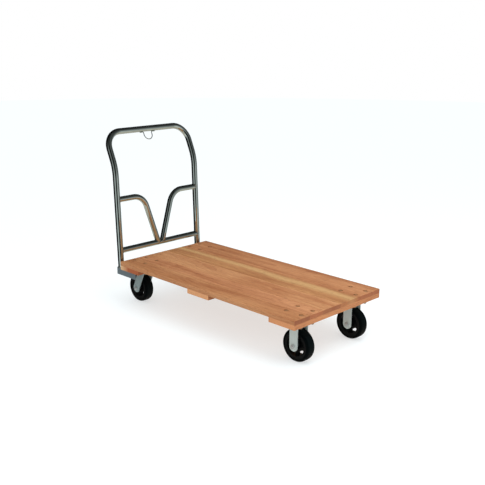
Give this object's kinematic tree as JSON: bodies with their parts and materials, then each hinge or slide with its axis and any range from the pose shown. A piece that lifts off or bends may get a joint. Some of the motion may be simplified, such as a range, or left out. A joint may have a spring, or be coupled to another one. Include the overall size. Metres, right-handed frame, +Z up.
{
  "type": "flatbed platform truck",
  "caption": "Flat hardwood deck on rigid and swivel casters with a bent steel tube push handle, for moving loads by hand.",
  "frame": {"origin": "on the floor, under the middle of the overall length and width", "axes": "+Z up; +X along the deck from the handle end to the front; +Y across, to the pusher's left"},
  "size_m": [1.3782, 0.6096, 0.9144],
  "materials": {
    "hardwood": "planed and oiled",
    "bright_tube": "bright plated",
    "grey_steel": "blue-grey, satin",
    "zinc_steel": "zinc plated pressings",
    "zinc_hardware": "zinc plated",
    "bearing_steel": "ground",
    "black_iron": "black enamelled casting",
    "black_rubber": "moulded, satin"
  },
  "bodies": {
    "root": {"caster_bolts": "zinc_hardware", "caster_nuts": "zinc_hardware", "caster_washers": "zinc_steel", "deck_board_1": "hardwood", "deck_board_2": "hardwood", "deck_board_3": "hardwood", "deck_board_4": "hardwood", "deck_board_5": "hardwood", "deck_screws": "zinc_hardware", "foot_angle_left": "grey_steel", "foot_angle_right": "grey_steel", "foot_lag_screws": "zinc_hardware", "front_axle_bolts": "zinc_hardware", "front_axle_nuts": "zinc_hardware", "front_axle_sleeves": "bearing_steel", "front_batten": "hardwood", "front_thrust_washers": "zinc_steel", "handle_brace_left": "bright_tube", "handle_brace_right": "bright_tube", "handle_cross_tube": "bright_tube", "handle_hoop": "bright_tube", "kingpin_left": "zinc_hardware", "kingpin_nut_left": "zinc_hardware", "kingpin_nut_right": "zinc_hardware", "kingpin_right": "zinc_hardware", "middle_batten": "hardwood", "rear_batten": "hardwood", "rigid_fork_left": "zinc_steel", "rigid_fork_right": "zinc_steel", "rigid_plate_left": "zinc_steel", "rigid_plate_right": "zinc_steel", "swivel_plate_left": "zinc_steel", "swivel_plate_right": "zinc_steel", "wire_loop": "bright_tube"},
    "swivel_left": {"swivel_fork_left": "zinc_steel", "swivel_balls_left": "bearing_steel", "rear_axle_sleeve_left": "bearing_steel", "rear_thrust_washers_left": "zinc_steel", "rear_axle_bolt_left": "zinc_hardware", "rear_axle_nut_left": "zinc_hardware"},
    "wheel_front_left": {"front_wheel_tread_left": "black_rubber", "front_wheel_core_left": "black_iron", "front_wheel_rollers_left": "bearing_steel"},
    "wheel_rear_left": {"rear_wheel_tread_left": "black_rubber", "rear_wheel_core_left": "black_iron", "rear_wheel_rollers_left": "bearing_steel"},
    "swivel_right": {"swivel_fork_right": "zinc_steel", "swivel_balls_right": "bearing_steel", "rear_axle_sleeve_right": "bearing_steel", "rear_thrust_washers_right": "zinc_steel", "rear_axle_bolt_right": "zinc_hardware", "rear_axle_nut_right": "zinc_hardware"},
    "wheel_front_right": {"front_wheel_tread_right": "black_rubber", "front_wheel_core_right": "black_iron", "front_wheel_rollers_right": "bearing_steel"},
    "wheel_rear_right": {"rear_wheel_tread_right": "black_rubber", "rear_wheel_core_right": "black_iron", "rear_wheel_rollers_right": "bearing_steel"}
  },
  "joints": [
    {"name": "front_wheel_spin_left", "type": "hinge", "parent": "root", "child": "wheel_front_left", "pos_m": [0.61295, 0.1914, 0.0762], "axis": [0, 1, 0], "continuous": true},
    {"name": "caster_swivel_left", "type": "hinge", "parent": "root", "child": "swivel_left", "pos_m": [-0.46425, 0.1914, 0.1845], "axis": [0, 0, 1], "continuous": true},
    {"name": "rear_wheel_spin_left", "type": "hinge", "parent": "swivel_left", "child": "wheel_rear_left", "pos_m": [-0.50925, 0.1914, 0.0762], "axis": [0, 1, 0], "continuous": true},
    {"name": "front_wheel_spin_right", "type": "hinge", "parent": "root", "child": "wheel_front_right", "pos_m": [0.61295, -0.1914, 0.0762], "axis": [0, 1, 0], "continuous": true},
    {"name": "caster_swivel_right", "type": "hinge", "parent": "root", "child": "swivel_right", "pos_m": [-0.46425, -0.1914, 0.1845], "axis": [0, 0, 1], "continuous": true},
    {"name": "rear_wheel_spin_right", "type": "hinge", "parent": "swivel_right", "child": "wheel_rear_right", "pos_m": [-0.50925, -0.1914, 0.0762], "axis": [0, 1, 0], "continuous": true}
  ]
}
